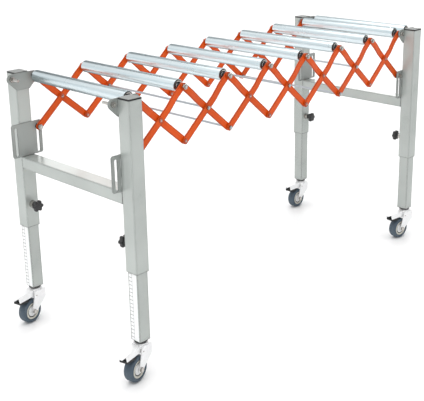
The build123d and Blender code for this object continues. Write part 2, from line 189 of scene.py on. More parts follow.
class Sheet:
    """The node tree of one finish."""

    bevel_samples = 6
    edge_starts, edge_full = 0.005, 0.1
    mix_factor, mix_first, mix_second, mix_result = 0, 6, 7, 2

    def __init__(self, tree):
        self.tree = tree
        tree.nodes.clear()

    def node(self, kind, settings=None, sockets=None, output=0):
        """Add a node: its settings first, then the values or links of its sockets."""
        made = self.tree.nodes.new(kind)
        for name, value in (settings or {}).items():
            setattr(made, name, value)
        for name, value in (sockets or {}).items():
            if isinstance(value, Wire):
                self.tree.links.new(value.socket, made.inputs[name])
            else:
                made.inputs[name].default_value = value
        return Wire(self, made.outputs[output]) if made.outputs else None

    def place(self):
        """Place on the piece, in metres."""
        return self.node("ShaderNodeTexCoord", output="Object")

    def facing(self):
        """Direction in which the surface faces."""
        return self.node("ShaderNodeNewGeometry", output="Normal")

    def stretched(self, vector, shares):
        """Vector scaled along each axis."""
        settings = {"operation": "MULTIPLY"}
        return self.node("ShaderNodeVectorMath", settings, {0: vector, 1: shares})

    def split(self, vector, axis):
        """One component of a vector."""
        return self.node("ShaderNodeSeparateXYZ", None, {"Vector": vector}, axis)

    def noise(self, vector, scale=1.0, detail=2.0, roughness=0.5):
        """Soft noise from zero to one."""
        sockets = {"Vector": vector, "Scale": scale, "Detail": detail, "Roughness": roughness}
        return self.node("ShaderNodeTexNoise", None, sockets)

    def cells(self, vector, scale):
        """Flat-toned cells, one random grey in each."""
        sockets = {"Vector": vector, "Scale": scale}
        return self.split(self.node("ShaderNodeTexVoronoi", {"feature": "F1"}, sockets, "Color"), 0)

    def blend(self, first, second, factor):
        """Mix of two colours."""
        settings = {"data_type": "RGBA", "clamp_factor": True}
        sockets = {self.mix_factor: factor, self.mix_first: first, self.mix_second: second}
        return self.node("ShaderNodeMix", settings, sockets, self.mix_result)

    def mottled(self, base, factor, dark, light):
        """Colour that goes from a darker share of itself to a lighter one."""
        return self.blend(tinted(base, dark), tinted(base, light), factor)

    def bevel(self, radius):
        """Normal led round the edges within a radius."""
        return self.node("ShaderNodeBevel", {"samples": self.bevel_samples}, {"Radius": radius})

    def rounding(self, radius, reach=None):
        """Normal softened round the edges, and a mask that rises towards them within a reach."""
        soft = self.bevel(radius)
        wide = self.bevel(reach) if reach else soft
        settings = {"operation": "DOT_PRODUCT"}
        along = self.node("ShaderNodeVectorMath", settings, {0: wide, 1: self.facing()}, "Value")
        return soft, (1 - along).eased(self.edge_starts, self.edge_full)

    def bump(self, height, depth, normal=None):
        """Relief of a depth in metres."""
        sockets = {"Height": height, "Distance": depth}
        if normal is not None:
            sockets["Normal"] = normal
        return self.node("ShaderNodeBump", None, sockets)

    def surface(self, **sockets):
        """Principled surface as the material's output; words stand for the socket names."""
        named = {word.replace("_", " ").title(): value for word, value in sockets.items()}
        named = {word.replace("Ior", "IOR"): value for word, value in named.items()}
        skin = self.node("ShaderNodeBsdfPrincipled", None, named)
        self.node("ShaderNodeOutputMaterial", None, {"Surface": skin})


FINISHES = {}


def recipe(make):
    """Keep a finish under the name of the function that makes it."""
    FINISHES[make.__name__] = make
    return make


def finish(name):
    """Material of a finish, made on first use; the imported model's flat ones have plain names."""
    full_name = f"{name}_finish"
    if full_name not in bpy.data.materials:
        FINISHES[name](full_name)
    return bpy.data.materials[full_name]


def new_sheet(name):
    """Sheet and place of a new material."""
    material = bpy.data.materials.new(name)
    material.use_nodes = True
    sheet = Sheet(material.node_tree)
    return sheet, sheet.place()


def colours():
    """The table's colour settings."""
    return bpy.context.scene.roller_table_colours


def gloss_paint(
    name, base, rim, peel_depth, shine=0.5, coat=0.12, metal=0.0, rim_reach=2.2, dullness=0.3
):
    """Glossy paint over steel: orange peel, faint clouds, small specks, and edges blended to a
    darker rim colour as painted shade.
    """
    sheet, place = new_sheet(name)
    cloud = sheet.noise(place, scale=7.0, detail=3.0)
    peel = sheet.noise(place, scale=430.0)
    dust = sheet.noise(place, scale=1900.0, detail=1.0)
    # noise that varies how strong the painted edge shade is
    edge_shade_patchiness = sheet.noise(place, scale=240.0, detail=3.0).eased(0.42, 0.62)
    soft, edge = sheet.rounding(1.1 * MM, rim_reach * MM)
    body = sheet.mottled(base, cloud.eased(0.3, 0.7), dark=0.94, light=1.06)
    body = sheet.blend(body, tinted(base, 0.85), dust.eased(0.68, 0.8) * 0.4)
    # painted shade: the edges are blended towards the dark rim colour, unevenly
    body = sheet.blend(body, rim, edge * (0.75 + 0.25 * edge_shade_patchiness))
    relief = sheet.bump(peel * 0.75 + dust * 0.25, peel_depth, soft)
    rough = dullness + 0.12 * cloud + 0.08 * dust + 0.1 * edge
    sheet.surface(
        base_color=body, roughness=rough, specular_ior_level=shine, metallic=metal,
        coat_weight=coat, coat_roughness=0.2, normal=relief,
    )


@recipe
def frame_paint(name):
    """Light grey paint of the posts, legs and rails."""
    base = colours().frame_grey
    # painted shade: the rim tinted(base, 0.26) over a 5 mm reach darkens the corners of the posts,
    # legs and rails
    gloss_paint(
        name, base, tinted(base, 0.26), peel_depth=0.05 * MM, metal=0.3, rim_reach=5.0,
        dullness=0.2,
    )


@recipe
def bracket_paint(name):
    """The frames' paint on the bracket plates, darkened by a share as painted shade from the posts,
    with edges painted darker too.
    """
    # painted shade: the frames' grey darkened as if the plates lay in the posts' shade
    base = tinted(colours().frame_grey, colours().bracket_shade_share)
    gloss_paint(name, base, tinted(base, 0.35), peel_depth=0.05 * MM)


@recipe
def link_paint(name):
    """Orange paint of the lattice bars."""
    base = colours().lattice_orange
    # painted shade: the rim tinted(base, 0.22) darkens the borders along the bars' edges
    gloss_paint(
        name, base, tinted(base, 0.22), peel_depth=0.04 * MM, shine=0.2, coat=0.03,
        rim_reach=4.2,
    )


@recipe
def rivet_paint(name):
    """The bars' paint on the rivet heads, thicker and glossier."""
    orange = colours().lattice_orange
    # painted shade: the rim tinted(orange, 0.12) is a dark ring round each rivet head
    base, rim = tinted(orange, 0.8), tinted(orange, 0.12)
    gloss_paint(name, base, rim, peel_depth=0.02 * MM, shine=0.6, coat=1.0, rim_reach=2.6)


def zinc(name, base, low_rough, high_rough, spangle, metal=1.0, rim=POLISHED_EDGE, rim_reach=0.35):
    """Zinc plating with faint spangle, handling smears and toned edges."""
    sheet, place = new_sheet(name)
    soft, edge = sheet.rounding(0.35 * MM, rim_reach * MM)
    flakes = sheet.cells(place, spangle)
    smear = sheet.noise(place, scale=26.0, detail=4.0, roughness=0.6)
    fine = sheet.noise(place, scale=1500.0)
    body = sheet.mottled(base, flakes * 0.35 + smear * 0.65, dark=0.86, light=1.06)
    # edges blended to the rim colour: a lighter edge by default, and a dark painted shade on the
    # nuts, axles and bolts
    body = sheet.blend(body, opaque(rim), edge * 0.7)
    rough = low_rough + (high_rough - low_rough) * (smear * 0.7 + flakes * 0.3) - 0.06 * edge
    relief = sheet.bump(fine, 0.02 * MM, soft)
    sheet.surface(base_color=body, roughness=rough, metallic=metal, normal=relief)


@recipe
def hardware_zinc(name):
    """Plating of the nuts, axles and bolts, with painted shade dark round the edges."""
    zinc(
        name, BOLT_STEEL, low_rough=0.16, high_rough=0.32, spangle=520.0, rim=BOLT_EDGE_SHADE,
        rim_reach=2.4,
    )


@recipe
def rod_zinc(name):
    """Duller plating of the thin tie rods."""
    zinc(name, ROD_STEEL, low_rough=0.3, high_rough=0.45, spangle=520.0)


@recipe
def castor_zinc(name):
    """Whiter plating of the castor forks and brake levers."""
    zinc(name, CASTOR_STEEL, low_rough=0.34, high_rough=0.5, spangle=340.0, metal=0.55)


@recipe
def roller_zinc(name):
    """Plated tube with drawn lines along it and faint marks round it where loads have rolled."""
    sheet, place = new_sheet(name)
    soft, edge = sheet.rounding(0.3 * MM)
    drawn = sheet.noise(sheet.stretched(place, (620.0, 3.0, 620.0)), detail=3.0)
    rubbed = sheet.noise(sheet.stretched(place, (5.0, 420.0, 5.0)), detail=3.0)
    cloud = sheet.noise(place, scale=14.0, detail=4.0)
    base = colours().roller_steel
    body = sheet.mottled(base, drawn.eased(0.25, 0.75), dark=0.90, light=1.07)
    body = sheet.blend(body, tinted(base, 0.80), rubbed.eased(0.58, 0.8) * 0.3)
    body = sheet.blend(body, opaque(ROLLER_EDGE), edge * 0.5)
    rough = 0.17 + 0.09 * cloud + 0.08 * drawn + 0.08 * rubbed
    relief = sheet.bump(drawn * 0.6 + rubbed * 0.4, 0.012 * MM, soft)
    sheet.surface(
        base_color=body, roughness=rough, metallic=1.0, specular_tint=opaque(BLACK), normal=relief
    )


def moulded(name, base, pale, rough, grain_depth):
    """Moulded plastic with a fine spark-eroded grain and rubbed edges."""
    sheet, place = new_sheet(name)
    soft, edge = sheet.rounding(0.5 * MM)
    grain = sheet.noise(place, scale=1300.0, detail=3.0)
    cloud = sheet.noise(place, scale=18.0, detail=3.0)
    body = sheet.mottled(base, cloud, dark=0.85, light=1.15)
    body = sheet.blend(body, pale, edge * (0.25 + 0.5 * grain))
    relief = sheet.bump(grain, grain_depth, soft)
    sheet.surface(base_color=body, roughness=rough + 0.14 * cloud, normal=relief)


@recipe
def knob_plastic(name):
    """Black plastic of the clamp knobs."""
    moulded(name, colours().knob_black, grey(0.12), rough=0.24, grain_depth=0.02 * MM)


@recipe
def spacer_plastic(name):
    """Black plastic of spacers, washers, brake blocks and bearing rings."""
    moulded(name, SPACER_BLACK, grey(0.05), rough=0.46, grain_depth=0.02 * MM)


@recipe
def hub_plastic(name):
    """Near white plastic of the castor hubs."""
    moulded(name, HUB_WHITE, grey(0.9), rough=0.33, grain_depth=0.01 * MM)


@recipe
def rim_plastic(name):
    """Cream plastic of the rims that hold the tyres."""
    moulded(name, RIM_CREAM, opaque(RIM_EDGE), rough=0.33, grain_depth=0.01 * MM)


@recipe
def hub_shadow(name):
    """Painted shadow in the groove round the hub of a castor wheel."""
    moulded(name, HUB_GROOVE_SHADE, grey(0.08), rough=0.5, grain_depth=0.02 * MM)


@recipe
def cap_plastic(name):
    """Cap plastic: a scuffed top painted lighter than the darker sides as painted light from above.
    """
    sheet, place = new_sheet(name)
    soft, edge = sheet.rounding(0.5 * MM)
    grain = sheet.noise(place, scale=900.0, detail=3.0)
    scuff = sheet.noise(sheet.stretched(place, (70.0, 420.0, 70.0)), detail=4.0)
    # painted light: faces that point up get the lighter top colour, and their edges a little
    # lighter still
    top = sheet.split(sheet.facing(), 2).eased(0.5, 0.9)
    face = sheet.mottled(colours().cap_lit_top_grey, scuff, dark=0.9, light=1.18)
    body = sheet.blend(opaque(CAP_SIDE), face, top)
    body = sheet.blend(body, grey(0.3), edge * top * 0.35)
    relief = sheet.bump(grain * 0.7 + scuff * 0.3, 0.04 * MM, soft)
    rough = 0.4 + 0.14 * scuff
    sheet.surface(base_color=body, roughness=rough, specular_ior_level=0.15, normal=relief)


@recipe
def tyre_rubber(name):
    """Blue-grey rubber of the tyres, with pale dust in patches."""
    sheet, place = new_sheet(name)
    grain = sheet.noise(place, scale=700.0, detail=3.0)
    dust = sheet.noise(place, scale=42.0, detail=5.0, roughness=0.62)
    body = sheet.mottled(colours().tyre_blue, grain, dark=0.86, light=1.16)
    body = sheet.blend(body, opaque(TREAD_DUST), dust.eased(0.5, 0.78) * 0.28)
    relief = sheet.bump(grain * 0.5 + dust * 0.5, 0.08 * MM)
    sheet.surface(base_color=body, roughness=0.5 + 0.2 * dust, normal=relief)


@recipe
def scale_print(name):
    """White strip with a column of plain height ticks down one side, between two thin lines."""
    sheet, place = new_sheet(name)
    sizes = bpy.context.scene.roller_table_sizes
    side, height = sheet.split(place, 1), sheet.split(place, 2)
    column = abs(side - sizes.tick_column)
    inside = column.below(sizes.tick_length / 2)
    tick = (height % sizes.tick_pitch).below(sizes.tick_width) * inside
    line = abs(column - sizes.tick_length / 2).below(sizes.line_width / 2)
    rubbed = sheet.noise(place, scale=300.0, detail=4.0)
    paper = sheet.blend(opaque(DULL_PAPER), grey(0.97), rubbed)
    ink = (tick + line * 0.8).eased(0.0, 1.0) * (0.75 + 0.25 * rubbed)
    body = sheet.blend(paper, opaque(SCALE_INK), ink)
    relief = sheet.bump(ink + rubbed * 0.2, 0.01 * MM)
    sheet.surface(
        base_color=body, roughness=0.28 + 0.12 * rubbed, coat_weight=0.3, coat_roughness=0.12,
        normal=relief,
    )


@recipe
def weld_paint(name):
    """Grey paint over a weld, a little darker in the small hollows of its spatter."""
    sheet, place = new_sheet(name)
    spatter = sheet.noise(place, scale=900.0, detail=4.0)
    soft, _ = sheet.rounding(0.3 * MM)
    body = sheet.mottled(colours().frame_grey, spatter, dark=0.82, light=1.02)
    relief = sheet.bump(spatter, 0.08 * MM, soft)
    sheet.surface(base_color=body, roughness=0.38 + 0.2 * spatter, coat_weight=0.2, normal=relief)


@recipe
def studio_floor(name):
    """Pale matt floor with faint clouds."""
    sheet, place = new_sheet(name)
    cloud = sheet.noise(place, scale=1.3, detail=4.0)
    grain = sheet.noise(place, scale=160.0)
    body = sheet.blend(grey(0.90), grey(0.93), cloud)
    relief = sheet.bump(grain, 0.05 * MM)
    sheet.surface(base_color=body, roughness=0.62 + 0.1 * cloud, normal=relief)


def separate_solids(node):
    """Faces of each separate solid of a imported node, and its lowest and highest corner."""
    held = frame["nodes"][node]
    mesh = held.data
    places = [held.matrix_world @ vertex.co for vertex in mesh.vertices]
    index = {}
    weld = []
    for vertex in mesh.vertices:
        key = tuple(round(part, 6) for part in vertex.co)
        weld.append(index.setdefault(key, len(index)))
    above = list(range(len(index)))

    def root(item):
        while above[item] != item:
            above[item] = above[above[item]]
            item = above[item]
        return item

    for face in mesh.polygons:
        first = root(weld[face.vertices[0]])
        for corner in face.vertices[1:]:
            above[root(weld[corner])] = first
    groups = {}
    for face in mesh.polygons:
        groups.setdefault(root(weld[face.vertices[0]]), []).append(face)
    for faces in groups.values():
        points = [places[corner] for face in faces for corner in face.vertices]
        low = Vector(min(point[axis] for point in points) for axis in range(3))
        high = Vector(max(point[axis] for point in points) for axis in range(3))
        yield faces, low, high


def longest_solid(node, axis):
    """Lowest and highest corner of the solid of a node that is longest along an axis."""
    boxes = [(low, high) for _, low, high in separate_solids(node)]
    return max(boxes, key=lambda box: box[1][axis] - box[0][axis])


def dress(node, choose):
    """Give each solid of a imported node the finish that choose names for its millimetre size."""
    mesh = frame["nodes"][node].data
    solids = list(separate_solids(node))
    mesh.materials.clear()
    slots = []
    for faces, low, high in solids:
        name = choose([(far - close) / MM for close, far in zip(low, high)])
        if name not in slots:
            slots.append(name)
            mesh.materials.append(finish(name))
        for face in faces:
            face.material_index = slots.index(name)


def near(value, target, slack=0.4):
    """Whether two sizes in millimetres are alike."""
    return abs(value - target) < slack


def piece(name, points, faces, body, finishes, labels=None, sharp=35.0):
    """New mesh piece that rides on a body, shaded smooth between its sharp edges."""
    mesh = bpy.data.meshes.new(name)
    mesh.from_pydata([tuple(point) for point in points], [], faces)
    shape = bmesh.new()
    shape.from_mesh(mesh)
    bmesh.ops.recalc_face_normals(shape, faces=shape.faces)
    shape.to_mesh(mesh)
    shape.free()
    for finish_name in finishes:
        mesh.materials.append(finish(finish_name))
    if labels is not None:
        mesh.polygons.foreach_set("material_index", [finishes.index(label) for label in labels])
    mesh.shade_smooth()
    mesh.set_sharp_from_angle(angle=math.radians(sharp))
    made = bpy.data.objects.new(name, mesh)
    bpy.context.scene.collection.objects.link(made)
    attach(made, body)
    return made


def tube_faces(rings, count, closed=False):
    """Faces between neighbouring rings of points, and from the last ring to the first if closed."""
    faces = []
    for ring in range(rings if closed else rings - 1):
        here = ring * count
        there = (ring + 1) % rings * count
        for spot in range(count):
            beside = (spot + 1) % count
            faces.append((here + spot, here + beside, there + beside, there + spot))
    return faces


def rounded(corners, steps=4):
    """Closed section of (along, radius, rounding, label...) corners, each led round a curve."""
    found = []
    before = corners[-1:] + corners[:-1]
    after = corners[1:] + corners[:1]
    for last, here, following in zip(before, corners, after):
        point = Vector(here[:2])
        start = point + (Vector(last[:2]) - point).normalized() * here[2]
        end = point + (Vector(following[:2]) - point).normalized() * here[2]
        for step in range(steps + 1):
            share = step / steps
            spot = start.lerp(point, share).lerp(point.lerp(end, share), share)
            found.append((spot.x, spot.y, *here[3:]))
    return found


def labelled(corners, finish_name):
    """Corners with the finish of the faces that start at them."""
    return [(*corner, finish_name) for corner in corners]


def banded(section, bands):
    """Section with each point labelled by the first (radius limit, finish) band that holds it."""
    found = []
    for along, radius in section:
        found.append((along, radius, next(name for limit, name in bands if radius < limit)))
    return found


def turned(profile, steps, place, swell=None):
    """Profile in millimetres turned about z and set in place, with a finish for each face."""
    points = []
    for step in range(steps):
        angle = math.tau * step / steps
        for along, radius, _ in profile:
            reach = radius * (swell(angle, radius) if swell else 1.0)
            spot = Vector((reach * math.cos(angle), reach * math.sin(angle), along)) * MM
            points.append(place @ spot)
    labels = [label for _, _, label in profile] * steps
    return points, tube_faces(steps, len(profile), closed=True), labels


def axis_place(origin, axis):
    """Placement that stands the z axis of a turned piece along a joint's axis."""
    turn = Vector(axis).to_track_quat("Z", "Y").to_matrix().to_4x4()
    return Matrix.Translation(Vector(origin)) @ turn


def turned_piece(name, profile, steps, place, body, swell=None):
    """Lathe-turned piece with a finish for each part of its profile."""
    points, faces, labels = turned(profile, steps, place, swell)
    return piece(name, points, faces, body, sorted(set(labels)), labels)


def length_setting(name, description, size, measure=MM):
    """Length setting, in millimetres unless another measure is given."""
    default = size * measure
    return FloatProperty(name=name, description=description, default=default, unit="LENGTH")


def angle_setting(name, description, degrees):
    """Angle setting, given in degrees."""
    default = math.radians(degrees)
    return FloatProperty(name=name, description=description, default=default, unit="ROTATION")


def number_setting(name, description, default, unit="NONE"):
    """Plain number, or one with a unit."""
    return FloatProperty(name=name, description=description, default=default, unit=unit)


def steps_setting(name, description, default):
    """Count of the steps that a round piece is made in."""
    return IntProperty(name=name, description=description, default=default, min=3)


def colour_setting(name, description, default):
    """Linear colour setting."""
    return FloatVectorProperty(
        name=name, description=description, default=default, subtype="COLOR"
    )


def place_setting(name, description, default):
    """Place setting, in metres."""
    return FloatVectorProperty(
        name=name, description=description, default=default, subtype="TRANSLATION", unit="LENGTH"
    )


class RollerTableColours(bpy.types.PropertyGroup):
    """Colours of the table's finishes."""

    frame_grey: colour_setting("Frame grey", "Paint of the frames", (0.46, 0.49, 0.468))
    # painted shade: the brackets' paint is the frames' darkened by this share, as if in the posts'
    # shade
    bracket_shade_share: number_setting("Bracket share", "Bracket tone as a share of the frames'", 0.7)
    lattice_orange: colour_setting("Lattice orange", "Paint of the bars", (0.74, 0.088, 0.004))
    roller_steel: colour_setting("Roller steel", "Plating of the rollers", (0.76, 0.85, 0.88))
    # painted light: the caps' top gets this lighter grey because it faces the light; the sides keep
    # the dark cap colour
    cap_lit_top_grey: colour_setting("Cap grey", "Top of the post caps", (0.20, 0.208, 0.20))
    knob_black: colour_setting("Knob black", "Clamp knobs", (0.020, 0.020, 0.021))
    tyre_blue: colour_setting("Tyre blue", "Castor treads", (0.064, 0.094, 0.124))


class RollerTableSizes(bpy.types.PropertyGroup):
    """Sizes of the trim."""

    roller_steps: steps_setting("Roller facets", "Steps round a roller", 56)
    wheel_steps: steps_setting("Wheel facets", "Steps round a castor wheel", 72)
    knob_steps: steps_setting("Knob facets", "Steps round a clamp knob", 96)
    cup_steps: steps_setting("Cup facets", "Steps round a swivel cup", 64)
    rivet_steps: steps_setting("Rivet facets", "Steps round a rivet", 20)
    lobe_depth: number_setting("Lobe depth", "Depth of the hollows between a knob's lobes", 0.17)
    bead_radius: length_setting("Weld bead", "Radius of a weld bead", 1.5)
    ripple_pitch: length_setting("Weld ripple", "Distance between ripples", 1.5)
    seam_height: length_setting("Cap seam", "Height of the seam under a cap", 1.1)
    seam_proud: length_setting("Seam reach", "How far the seam stands out", 0.3)
    scale_width: length_setting("Scale width", "Width of the height scale", 28.0)
    scale_thickness: length_setting("Scale thickness", "Thickness of the strip", 0.15)
    scale_margin: length_setting("Scale margin", "Bare leg past the strip's ends", 1.5)
    tick_column: length_setting("Tick column", "Place of the ticks from the strip's middle", 8.0)
    tick_length: length_setting("Tick length", "How long a tick is", 11.5)
    tick_pitch: length_setting("Tick pitch", "Distance between ticks", 10.0)
    tick_width: length_setting("Tick width", "Width of a tick", 1.4)
    line_width: length_setting("Line width", "Width of the lines beside the ticks", 0.9)


class TABLE_OT_frames(bpy.types.Operator):
    """Paint the end frames and their brackets."""

    bl_idname = "roller_table.frames"
    bl_label = "Paint the frames"

    def execute(self, context):
        for side in SIDES:
            dress(f"{side}_frame", self.choose)
            for brackets in ("roller_brackets", "slot_brackets"):
                dress(f"{side}_{brackets}", lambda size: "bracket_paint")
        return {"FINISHED"}

    @staticmethod
    def choose(size):
        """Finish of a tube or a clamp boss by its size."""
        return "hardware_zinc" if near(size[1], BOSS_LENGTH) else "frame_paint"


class TABLE_OT_lattice(bpy.types.Operator):
    """Paint the bars of the lattice and dome the ends of the rivets that they carry."""

    bl_idname = "roller_table.lattice"
    bl_label = "Paint the lattice"

    # Section of a domed end: height, radius and rounding in millimetres
    dome = ((0.0, 0.2, 0.05), (0.0, 2.9, 0.3), (0.5, 2.5, 0.5), (0.9, 1.3, 0.6), (0.9, 0.2, 0.05))
    sunk = 0.1

    def execute(self, context):
        steps = context.scene.roller_table_sizes.rivet_steps
        for node in nodes_named("down_link") + nodes_named("up_link"):
            dress(node, lambda size: "link_paint" if max(size) > LONG else "rivet_paint")
            boxes = [(low, high) for _, low, high in separate_solids(node)]
            rivets = [(low, high) for low, high in boxes if max(high - low) < LONG * MM]
            if rivets:
                self.formed_ends(node, rivets, steps)
        return {"FINISHED"}

    def formed_ends(self, node, rivets, steps):
        """Bare domed ends of a link's rivets, on both faces of each."""
        profile = rounded(labelled(self.dome, "hardware_zinc"))
        points, faces = [], []
        for low, high in rivets:
            x, z = (low.x + high.x) / 2, (low.z + high.z) / 2
            for y, way in ((low.y, -1), (high.y, 1)):
                place = axis_place((x, y - way * self.sunk * MM, z), (0, way, 0))
                more_points, more_faces, _ = turned(profile, steps, place)
                faces += [tuple(corner + len(points) for corner in face) for face in more_faces]
                points += more_points
        piece(f"rivet_ends_{node}", points, faces, node, ["hardware_zinc"])


class TABLE_OT_hardware(bpy.types.Operator):
    """Plate the axles, rods and nuts, and blacken the spacer sleeves."""

    bl_idname = "roller_table.hardware"
    bl_label = "Plate the hardware"

    def execute(self, context):
        hardware = nodes_named("pivot_hardware") + ["left_axle_hardware", "right_axle_hardware"]
        for node in hardware + ["slot_pins_right"]:
            dress(node, self.choose)
        return {"FINISHED"}

    @staticmethod
    def choose(size):
        """Finish of a sleeve, a tie rod or another piece of hardware by its size."""
        if near(size[0], SLEEVE_WIDTH, 0.15) and near(size[2], SLEEVE_WIDTH, 0.15):
            return "spacer_plastic"
        return "rod_zinc" if near(size[0], ROD_WIDTH) and size[1] > LONG else "hardware_zinc"


class TABLE_OT_legs(bpy.types.Operator):
    """Paint the legs, plate their castor stems and fit the height scales."""

    bl_idname = "roller_table.legs"
    bl_label = "Finish the legs"

    scale_rows = 24

    def execute(self, context):
        for corner in CORNERS:
            dress(f"leg_{corner}", self.choose)
        for corner in ("front_left", "rear_left"):
            self.scale(corner, context.scene.roller_table_sizes)
        return {"FINISHED"}

    @staticmethod
    def choose(size):
        """Finish of a tube, a foot washer, a race or another piece of a leg by its size."""
        if size[2] > LONG:
            return "frame_paint"
        if near(size[0], WASHER_WIDTH):
            return "spacer_plastic"
        return "castor_zinc" if near(size[0], RACE_WIDTH) else "hardware_zinc"

    def scale(self, corner, sizes):
        """Thin printed strip on a leg's outer face, with its origin in the strip's middle."""
        low, high = longest_solid(f"leg_{corner}", 2)
        middle = (low.y + high.y) / 2
        half = sizes.scale_width / 2
        outer = low.x - sizes.scale_thickness
        foot, top = low.z + sizes.scale_margin, high.z - sizes.scale_margin
        points = []
        for row in range(self.scale_rows + 1):
            z = foot + (top - foot) * row / self.scale_rows
            points += [(low.x, middle - half, z), (outer, middle - half, z)]
            points += [(outer, middle + half, z), (low.x, middle + half, z)]
        last = 4 * self.scale_rows
        faces = tube_faces(self.scale_rows + 1, 4)
        faces += [(0, 1, 2, 3), (last, last + 1, last + 2, last + 3)]
        shift = Matrix.Translation((0, -middle, 0))
        strip = piece(
            f"height_scale_{corner}", [shift @ Vector(point) for point in points], faces,
            f"leg_{corner}", ["scale_print"], sharp=30.0,
        )
        strip.location.y = middle


class TABLE_OT_rollers(bpy.types.Operator):
    """Turn the rollers: plated tubes with rolled ends, black bearing flanges and pale races."""

    bl_idname = "roller_table.rollers"
    bl_label = "Turn the rollers"

    # Section at either end: depth from it, radius and rounding in millimetres
    end_section = (
        (0.5, 4.1, 0.2), (0.2, 6.1, 0.3), (1.2, 6.7, 0.2), (1.0, 9.2, 0.2), (0.0, 9.6, 0.25),
        (0.0, 12.1, 0.2), (0.5, 12.5, 0.2), (0.2, 13.4, 0.3), (2.0, 13.5, 0.2), (2.6, 14.2, 0.2),
        (2.0, 14.9, 0.3), (2.1, 16.0, 0.7),
    )
    # Finishes from the bore outwards, each up to a radius in millimetres
    bands = (
        (6.5, "castor_zinc"), (9.4, "spacer_plastic"), (12.3, "hardware_zinc"),
        (13.7, "spacer_plastic"), (math.inf, "roller_zinc"),
    )

    def execute(self, context):
        steps = context.scene.roller_table_sizes.roller_steps
        for node in nodes_named("roller_"):
            low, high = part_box(node)
            front, rear = low.y / MM, high.y / MM
            corners = [(front + depth, radius, ease) for depth, radius, ease in self.end_section]
            mirrored = self.end_section[::-1]
            corners += [(rear - depth, radius, ease) for depth, radius, ease in mirrored]
            profile = banded(rounded(corners), self.bands)
            place = axis_place(((low.x + high.x) / 2, 0, (low.z + high.z) / 2), (0, 1, 0))
            made = turned_piece(f"{node}_turned", profile, steps, place, node)
            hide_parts(node)
        return {"FINISHED"}


class TABLE_OT_wheels(bpy.types.Operator):
    """Turn the castor wheels: crowned tyres, pale rims, painted shadow in the grooves round the
    hubs, and white hubs.
    """

    bl_idname = "roller_table.wheels"
    bl_label = "Turn the wheels"

    # Section of one side: distance from the wheel's middle, radius and rounding in millimetres
    half_section = (
        (14.0, 4.1, 0.3), (14.0, 8.6, 0.6), (11.4, 9.6, 0.8), (11.0, 15.2, 0.5),
        (10.0, 15.8, 0.3), (9.8, 18.4, 0.3), (11.8, 18.9, 0.4), (12.5, 20.4, 0.6),
        (12.3, 23.0, 0.4), (11.4, 23.6, 0.2), (11.4, 24.2, 0.2), (12.9, 25.0, 0.5),
        (13.9, 27.4, 1.6), (13.4, 30.6, 2.4), (10.2, 33.3, 2.4), (4.0, 33.95, 1.5),
    )
    # Finishes from the bore outwards, each up to a radius in millimetres
    # hub_shadow is the band of painted shadow in the groove between hub and rim
    bands = (
        (15.7, "hub_plastic"), (18.8, "hub_shadow"), (23.7, "rim_plastic"),
        (math.inf, "tyre_rubber"),
    )

    def execute(self, context):
        steps = context.scene.roller_table_sizes.wheel_steps
        half = list(self.half_section)
        corners = half + [(-along, radius, ease) for along, radius, ease in half[::-1]]
        profile = banded(rounded(corners), self.bands)
        for corner in CORNERS:
            rolling = joint(f"castor_roll_{corner}")
            place = axis_place(rolling["pos_m"], rolling["axis"])
            node = f"castor_wheel_{corner}"
            made = turned_piece(f"{node}_turned", profile, steps, place, node)
            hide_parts(node)
        return {"FINISHED"}


class TABLE_OT_knobs(bpy.types.Operator):
    """Mould the star knobs that clamp the legs."""

    bl_idname = "roller_table.knobs"
    bl_label = "Mould the knobs"

    head_thickness = 14.0
    neck_length = 7.0
    curve_steps = 5
    lobe_count = 6
    lobe_root = 8.5
    lobe_run = 5.0
    lobe_deepening = 1.5
    lobe_sharpness = 1.4

    def execute(self, context):
        sizes = context.scene.roller_table_sizes
        for corner in CORNERS:
            node = f"clamp_knob_{corner}"
            turning = joint(f"clamp_turn_{corner}")
            seat, inward = turning["pos_m"][1], turning["axis"][1]
            low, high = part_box(node)
            close, far = sorted((abs(low.y), abs(high.y)))
            profile = self.profile((abs(seat) - far) / MM, (abs(seat) - close) / MM)
            centre = ((low.x + high.x) / 2, seat, (low.z + high.z) / 2)
            made = turned_piece(
                f"{node}_star", profile, sizes.knob_steps, axis_place(centre, (0, inward, 0)), node,
                lambda angle, radius: self.lobes(angle, radius, sizes.lobe_depth),
            )
            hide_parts(node)
        return {"FINISHED"}

    def profile(self, back, reach):
        """Section of a knob from its spindle's end to its head."""
        head = reach - self.head_thickness
        neck = head - self.neck_length
        spindle = [(back, 0.4, 0.1), (back, 4.9, 0.5), (neck, 5.0, 0.1)]
        star = [
            (neck, 7.6, 0.6), (head - 0.6, 8.0, 1.5), (head, 14.0, 1.8), (head + 3.5, 16.4, 2.0),
            (reach - 3.0, 16.2, 2.4), (reach - 0.2, 11.5, 2.2), (reach - 0.9, 6.6, 0.6),
            (reach - 0.1, 5.8, 0.5), (reach, 0.4, 0.1),
        ]
        corners = labelled(spindle, "hardware_zinc") + labelled(star, "knob_plastic")
        return rounded(corners, self.curve_steps)

    def lobes(self, angle, radius, depth):
        """How far the section is drawn in at an angle, only out at the head's rim."""
        share = min(1.0, max(0.0, (radius - self.lobe_root) / self.lobe_run))
        wave = (1.0 - math.cos(self.lobe_count * angle)) / 2
        return 1.0 - self.lobe_deepening * depth * share * wave ** self.lobe_sharpness


